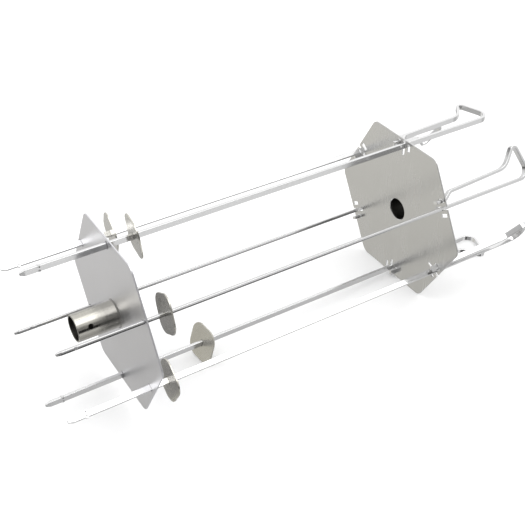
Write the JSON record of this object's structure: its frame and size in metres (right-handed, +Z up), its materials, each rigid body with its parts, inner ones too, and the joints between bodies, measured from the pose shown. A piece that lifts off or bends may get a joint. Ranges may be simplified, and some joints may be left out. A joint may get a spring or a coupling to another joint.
{
  "type": "rotisserie skewer carousel",
  "caption": "Hexagonal-plate rotisserie carousel: flat skewers run between slotted plates with spit collars, each with a sliding pusher plate and a bent locking handle.",
  "frame": {"origin": "on the spit axis, in the tip plate's outer face", "axes": "+X along the spit from the skewer points to the handles, +Z up, square to the upper flat of the plates"},
  "size_m": [0.51, 0.187, 0.187],
  "materials": {
    "plate_steel": "brushed stainless sheet",
    "collar_steel": "satin drawn tube",
    "weld_steel": "cleaned weld",
    "skewer_steel": "bright rolled flat bar",
    "pusher_steel": "brushed stainless sheet"
  },
  "bodies": {
    "handle_end": {"handle_plate": "plate_steel", "handle_collar": "collar_steel", "handle_collar_weld": "weld_steel"},
    "tip_end": {"tip_plate": "plate_steel", "tip_collar": "collar_steel", "tip_collar_weld": "weld_steel"},
    "skewer_top": {"skewer_top": "skewer_steel"},
    "pusher_top": {"pusher_top": "pusher_steel"},
    "skewer_upper_front": {"skewer_upper_front": "skewer_steel"},
    "pusher_upper_front": {"pusher_upper_front": "pusher_steel"},
    "skewer_lower_front": {"skewer_lower_front": "skewer_steel"},
    "pusher_lower_front": {"pusher_lower_front": "pusher_steel"},
    "skewer_bottom": {"skewer_bottom": "skewer_steel"},
    "pusher_bottom": {"pusher_bottom": "pusher_steel"},
    "skewer_lower_back": {"skewer_lower_back": "skewer_steel"},
    "pusher_lower_back": {"pusher_lower_back": "pusher_steel"},
    "skewer_upper_back": {"skewer_upper_back": "skewer_steel"},
    "pusher_upper_back": {"pusher_upper_back": "pusher_steel"}
  },
  "joints": [
    {"name": "tip_end_slide", "type": "slide", "parent": "handle_end", "child": "tip_end", "axis": [-1, 0, 0], "range_m": [0, 0.055]},
    {"name": "skewer_top_slide", "type": "slide", "parent": "handle_end", "child": "skewer_top", "axis": [1, 0, 0], "range_m": [0, 0.085]},
    {"name": "pusher_top_slide", "type": "slide", "parent": "skewer_top", "child": "pusher_top", "axis": [1, 0, 0], "range_m": [-0.0195, 0.205]},
    {"name": "skewer_upper_front_slide", "type": "slide", "parent": "handle_end", "child": "skewer_upper_front", "axis": [1, 0, 0], "range_m": [0, 0.085]},
    {"name": "pusher_upper_front_slide", "type": "slide", "parent": "skewer_upper_front", "child": "pusher_upper_front", "axis": [1, 0, 0], "range_m": [-0.0155, 0.212]},
    {"name": "skewer_lower_front_slide", "type": "slide", "parent": "handle_end", "child": "skewer_lower_front", "axis": [1, 0, 0], "range_m": [0, 0.085]},
    {"name": "pusher_lower_front_slide", "type": "slide", "parent": "skewer_lower_front", "child": "pusher_lower_front", "axis": [1, 0, 0], "range_m": [-0.0135, 0.214]},
    {"name": "skewer_bottom_slide", "type": "slide", "parent": "handle_end", "child": "skewer_bottom", "axis": [1, 0, 0], "range_m": [0, 0.085]},
    {"name": "pusher_bottom_slide", "type": "slide", "parent": "skewer_bottom", "child": "pusher_bottom", "axis": [1, 0, 0], "range_m": [-0.0765, 0.142]},
    {"name": "skewer_lower_back_slide", "type": "slide", "parent": "handle_end", "child": "skewer_lower_back", "axis": [1, 0, 0], "range_m": [0, 0.085]},
    {"name": "pusher_lower_back_slide", "type": "slide", "parent": "skewer_lower_back", "child": "pusher_lower_back", "axis": [1, 0, 0], "range_m": [-0.021, 0.2065]},
    {"name": "skewer_upper_back_slide", "type": "slide", "parent": "handle_end", "child": "skewer_upper_back", "axis": [1, 0, 0], "range_m": [0, 0.085]},
    {"name": "pusher_upper_back_slide", "type": "slide", "parent": "skewer_upper_back", "child": "pusher_upper_back", "axis": [1, 0, 0], "range_m": [-0.024, 0.2015]}
  ]
}
